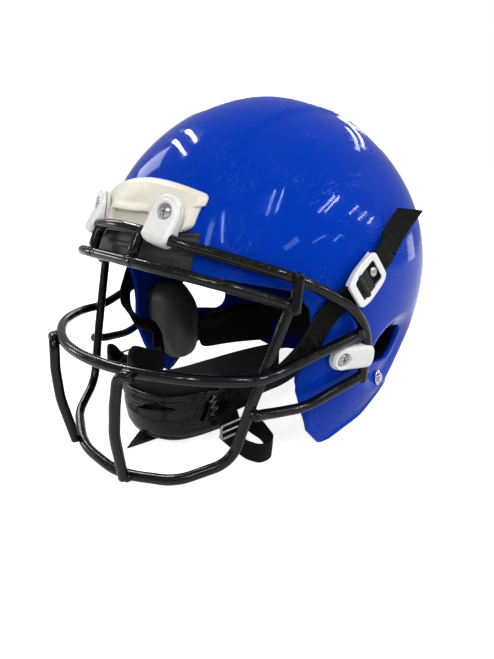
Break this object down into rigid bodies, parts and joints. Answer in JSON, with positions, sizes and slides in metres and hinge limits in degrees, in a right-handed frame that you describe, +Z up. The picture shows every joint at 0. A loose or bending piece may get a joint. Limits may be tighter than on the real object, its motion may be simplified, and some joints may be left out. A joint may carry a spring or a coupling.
{
  "type": "american football helmet with face guard",
  "caption": "Football helmet: glossy blue shell, ivory brow bumper, black welded wire face guard in clips, padding, chin cup on snap straps.",
  "frame": {"origin": "on the surface the helmet stands on, under the middle of its bounding box", "axes": "+X to the wearer's left, -Y to the face, +Z up"},
  "size_m": [0.2552, 0.3182, 0.2476],
  "materials": {
    "shell_blue": "gloss, fine scratches",
    "bumper_ivory": "satin moulded",
    "trim_grey": "matt",
    "guard_black": "dipped coating, semi-gloss, worn",
    "clip_white": "satin moulded",
    "screw_steel": "plated",
    "stud_nickel": "bright nickel",
    "webbing_black": "woven webbing",
    "buckle_white": "satin moulded",
    "buckle_steel": "plated wire",
    "bonnet_black": "matt",
    "absorber_black": "matt moulded",
    "pad_grey": "soft coated vinyl, satin",
    "pad_black": "knitted lining",
    "cup_black": "satin moulded"
  },
  "bodies": {
    "helmet": {"shell": "shell_blue", "brow_bumper": "bumper_ivory", "brow_trim": "trim_grey", "rear_bumper": "trim_grey", "top_bar": "guard_black", "brow_bar": "guard_black", "mouth_bar": "guard_black", "chin_bar": "guard_black", "front_upright_left": "guard_black", "front_upright_right": "guard_black", "lower_side_bar_left": "guard_black", "lower_side_bar_right": "guard_black", "brow_tie_left": "guard_black", "brow_tie_right": "guard_black", "side_tie_left": "guard_black", "side_tie_right": "guard_black", "top_clip_left": "clip_white", "top_clip_right": "clip_white", "side_clip_left": "clip_white", "side_clip_right": "clip_white", "top_clip_screws": "screw_steel", "side_clip_screws": "screw_steel", "clip_nuts": "screw_steel", "bonnet": "bonnet_black", "shock_absorbers": "absorber_black", "front_pad": "pad_black", "nape_pad": "pad_black", "jaw_pad_left": "pad_grey", "jaw_pad_right": "pad_grey", "upper_stud_left": "stud_nickel", "upper_stud_right": "stud_nickel", "lower_stud_left": "stud_nickel", "lower_stud_right": "stud_nickel"},
    "upper_buckle_left": {"upper_snap_left": "stud_nickel", "upper_buckle_left": "buckle_white"},
    "upper_buckle_right": {"upper_snap_right": "stud_nickel", "upper_buckle_right": "buckle_white"},
    "chin_cup": {"chin_cup": "cup_black", "chin_cup_pad": "pad_black", "upper_strap_left": "webbing_black", "upper_strap_right": "webbing_black"},
    "loose_strap_left": {"lower_strap_left": "webbing_black", "lower_buckle_left": "buckle_steel", "lower_snap_left": "stud_nickel"},
    "loose_strap_right": {"lower_strap_right": "webbing_black", "lower_buckle_right": "buckle_steel", "lower_snap_right": "stud_nickel"}
  },
  "joints": [
    {"name": "chin_cup_swing", "type": "hinge", "parent": "helmet", "child": "chin_cup", "pos_m": [0, -0.00872, 0.132], "axis": [1, 0, 0], "range_deg": [-12, 0], "deforming": ["upper_strap_left", "upper_strap_right"]},
    {"name": "buckle_swivel_left", "type": "hinge", "parent": "helmet", "child": "upper_buckle_left", "pos_m": [0.11391, -0.00872, 0.132], "axis": [0.9755, -0.1568, 0.1545], "range_deg": [-12, 0]},
    {"name": "buckle_swivel_right", "type": "hinge", "parent": "helmet", "child": "upper_buckle_right", "pos_m": [-0.11391, -0.00872, 0.132], "axis": [0.9755, 0.1568, -0.1545], "range_deg": [-12, 0]},
    {"name": "loose_strap_left_swing", "type": "hinge", "parent": "chin_cup", "child": "loose_strap_left", "pos_m": [0.051, -0.0845, 0.032], "axis": [0, 0, 1], "range_deg": [-20, 0]},
    {"name": "loose_strap_right_swing", "type": "hinge", "parent": "chin_cup", "child": "loose_strap_right", "pos_m": [-0.0494, -0.082, 0.034], "axis": [0, 0, 1], "range_deg": [-15, 0]}
  ],
  "couplings": [
    {"joint": "buckle_swivel_left", "follows": "chin_cup_swing", "ratio": 1},
    {"joint": "buckle_swivel_right", "follows": "chin_cup_swing", "ratio": 1}
  ]
}
